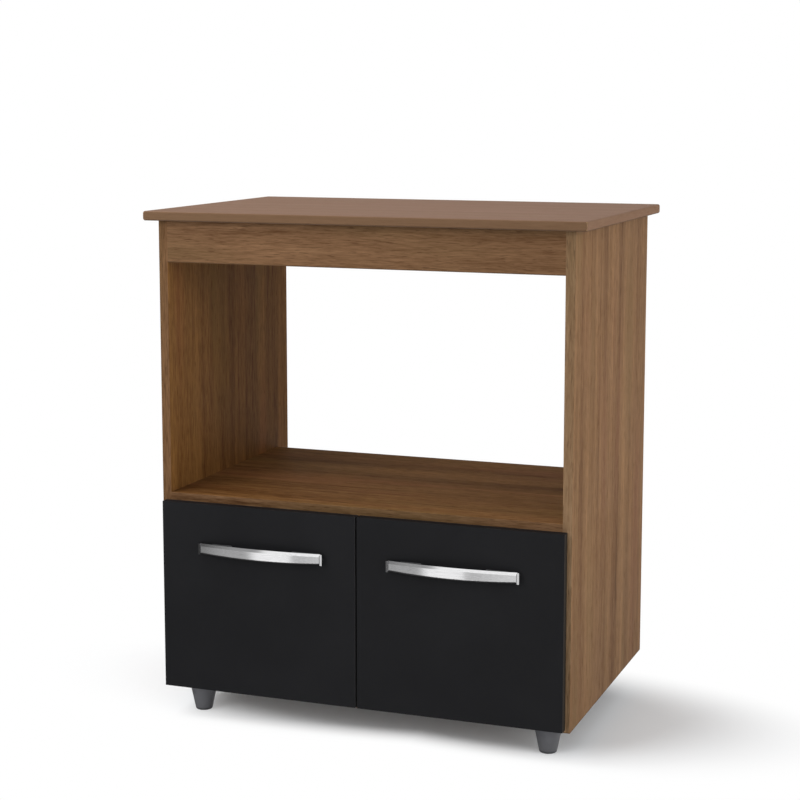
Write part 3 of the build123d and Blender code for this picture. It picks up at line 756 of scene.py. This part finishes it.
def floor_paper():
    finish = Finish("floor_paper")
    point = finish.place()
    fibres = finish.noise(point, 500.0, 2.0)
    white = finish.mix(fibres.ramp(*NOISE_SPAN), PAPER_DARK, PAPER_PALE)
    lit = finish.surface(Base_Color=white, Roughness=0.8, Specular_IOR_Level=0.1)
    glow = finish.node("ShaderNodeEmission", None, {"Color": grey(1.0), "Strength": 1.0})
    seen = finish.node("ShaderNodeLightPath", out="Is Camera Ray")
    fade = seen * (1 - shadow_patch(finish, point) * (1 - NEAR_GLOW))
    finish.show(finish.node("ShaderNodeMixShader", None, {0: fade, 1: lit, 2: glow}))
    return finish.material


floor = flat_piece("floor", level_square(FLOOR_HALF, 0.0), floor_paper())
floor.visible_glossy = False
print("floor is", 2 * FLOOR_HALF, "m wide")

# %% [markdown]
# Polished metal has no colour of its own: it shows the room. A photographer gives it something
# to show by standing grey cards round the set, with a gap where the strip of light should fall.
# Here three stand round the cabinet and one lies below it. The one at the front left is graded
# from nearly black to white, the one beside the cabinet at the left is nearly black, and the
# one at the front right is grey. Only mirror-like rays see them, so they shade nothing and
# never come into the picture.

# %% Cards for the handles to reflect
CARD_REACH = 5.0
CARD_FOOT = -2.6
TALL = 9.0
SHORT = 3.2


def card(name, corners, level):
    """A flat card of one level, or of a level that a function works out from place to place."""
    finish = Finish(name)
    shown = finish.mix(level(finish), grey(0.0), grey(1.0)) if callable(level) else grey(level)
    finish.show(finish.node("ShaderNodeEmission", None, {"Color": shown, "Strength": 1.0}))
    piece = flat_piece(name, corners, finish.material)
    for ray in ("camera", "diffuse", "transmission", "volume_scatter", "shadow"):
        setattr(piece, "visible_" + ray, False)


def standing(first_turn, last_turn, top):
    """The corners of an upright card between two bearings, in degrees from straight ahead."""
    feet = []
    for turn in (first_turn, last_turn):
        bearing = math.radians(turn)
        feet.append((CARD_REACH * math.sin(bearing), -CARD_REACH * math.cos(bearing)))
    (x0, y0), (x1, y1) = feet
    return [(x0, y0, CARD_FOOT), (x1, y1, CARD_FOOT), (x1, y1, top), (x0, y0, top)]


def turn_from_ahead(finish):
    """The bearing of a point on a card, counted in the same degrees."""
    x, y = finish.split(finish.place())[:2]
    turn = finish.node("ShaderNodeMath", {"operation": "ARCTAN2"}, {0: x, 1: -1 * y})
    return turn * (180 / math.pi)


def graded(finish):
    """Darker to the side and upwards, and fading into white at the strip of light."""
    turn = turn_from_ahead(finish)
    height = finish.split(finish.place())[2]
    level = 0.04 + turn.ramp(-66.0, -38.0) * 0.36
    level = level * (1 - height.ramp(-1.0, 5.0) * 0.22)
    return level + turn.ramp(-31.0, -25.0) * (1 - level)


def rising(finish):
    """A little lighter to the right."""
    return 0.55 + turn_from_ahead(finish).ramp(-10.0, 14.0) * 0.17


card("dark_card", standing(-85.0, -25.0, TALL), graded)
card("side_card", standing(-150.0, -85.0, TALL), 0.05)
card("grey_card", standing(-10.0, 50.0, SHORT), rising)
card("low_card", level_square(half=2.4, height=-1.2), 0.04)
print("cards stand", CARD_REACH, "m away")

# %% [markdown]
# ## Light
#
# Product photographs of furniture are lit by large soft boxes. A wide one stands at the front
# left, a second fills the right side, and one hangs overhead on the left. Mirror-like rays
# don't see them, because the cards already give the handles what they show.

# %% The lamps
MIDDLE = Vector((0.0, 0.0, 0.42))


def soft_box(name, place, width, height, watts):
    lamp = bpy.data.lights.new(name, "AREA")
    lamp.shape = "RECTANGLE"
    lamp.size = width
    lamp.size_y = height
    lamp.energy = watts
    made = bpy.data.objects.new(name, lamp)
    made.location = place
    aim = MIDDLE - Vector(place)
    made.rotation_euler = aim.to_track_quat("-Z", "Y").to_euler()
    made.visible_glossy = False
    bpy.context.scene.collection.objects.link(made)


soft_box("key", (-2.0, -3.1, 2.1), width=1.8, height=1.8, watts=66.0)
soft_box("side_fill", (3.2, -0.9, 1.4), width=2.0, height=1.4, watts=40.0)
soft_box("overhead", (-1.8, -0.6, 3.0), width=1.8, height=1.8, watts=50.0)
print("hung", len(bpy.data.lights), "soft boxes")

# %% [markdown]
# The sky is an even grey for the light it gives, and plain white where the camera, a mirror or
# glass looks at it. That keeps the background white without flooding the cabinet with light.

# %% The sky
SKY_LEVEL = 0.55
world = bpy.data.worlds.new("studio")
bpy.context.scene.world = world
sky = NodeTree(world, "ShaderNodeOutputWorld")
direct = sky.node("ShaderNodeLightPath", out="Is Camera Ray")
for ray in ("Is Glossy Ray", "Is Transmission Ray"):
    direct = direct.most(sky.node("ShaderNodeLightPath", out=ray))
shown = sky.mix(direct, grey(SKY_LEVEL), grey(1.0))
sky.show(sky.node("ShaderNodeBackground", None, {"Color": shown, "Strength": 1.0}))
print("sky gives", SKY_LEVEL, "of the light")

# %% [markdown]
# ## The camera
#
# The photograph was taken from the right with a long lens, a little above the top of the
# cabinet. Its upright edges are nearly parallel, so a small part of the framing is done with
# lens shift and the rest by tilting the camera down.

# %% The camera
IMAGE_WIDTH = 800
SENSOR = 36.0
FOCAL_PIXELS = 1849.0
LENS_SHIFT = -0.06
FAR_LIMIT = 50.0
CAMERA_PLACE = (1.0395, -2.8125, 0.9960)
CAMERA_TURN = 20.50
CAMERA_TILT = 7.80
camera_data = bpy.data.cameras.new("camera")
camera_data.sensor_width = SENSOR
camera_data.lens = FOCAL_PIXELS * SENSOR / IMAGE_WIDTH
camera_data.shift_y = LENS_SHIFT
camera_data.clip_end = FAR_LIMIT
camera = bpy.data.objects.new("camera", camera_data)
camera.location = CAMERA_PLACE
camera.rotation_euler = (math.radians(90 - CAMERA_TILT), 0.0, math.radians(CAMERA_TURN))
bpy.context.scene.collection.objects.link(camera)
bpy.context.scene.camera = camera
bpy.context.scene.view_settings.view_transform = "Standard"
print("lens of", round(camera_data.lens, 1), "mm")

# %% [markdown]
# ## Done
#

# %% Finish
import json
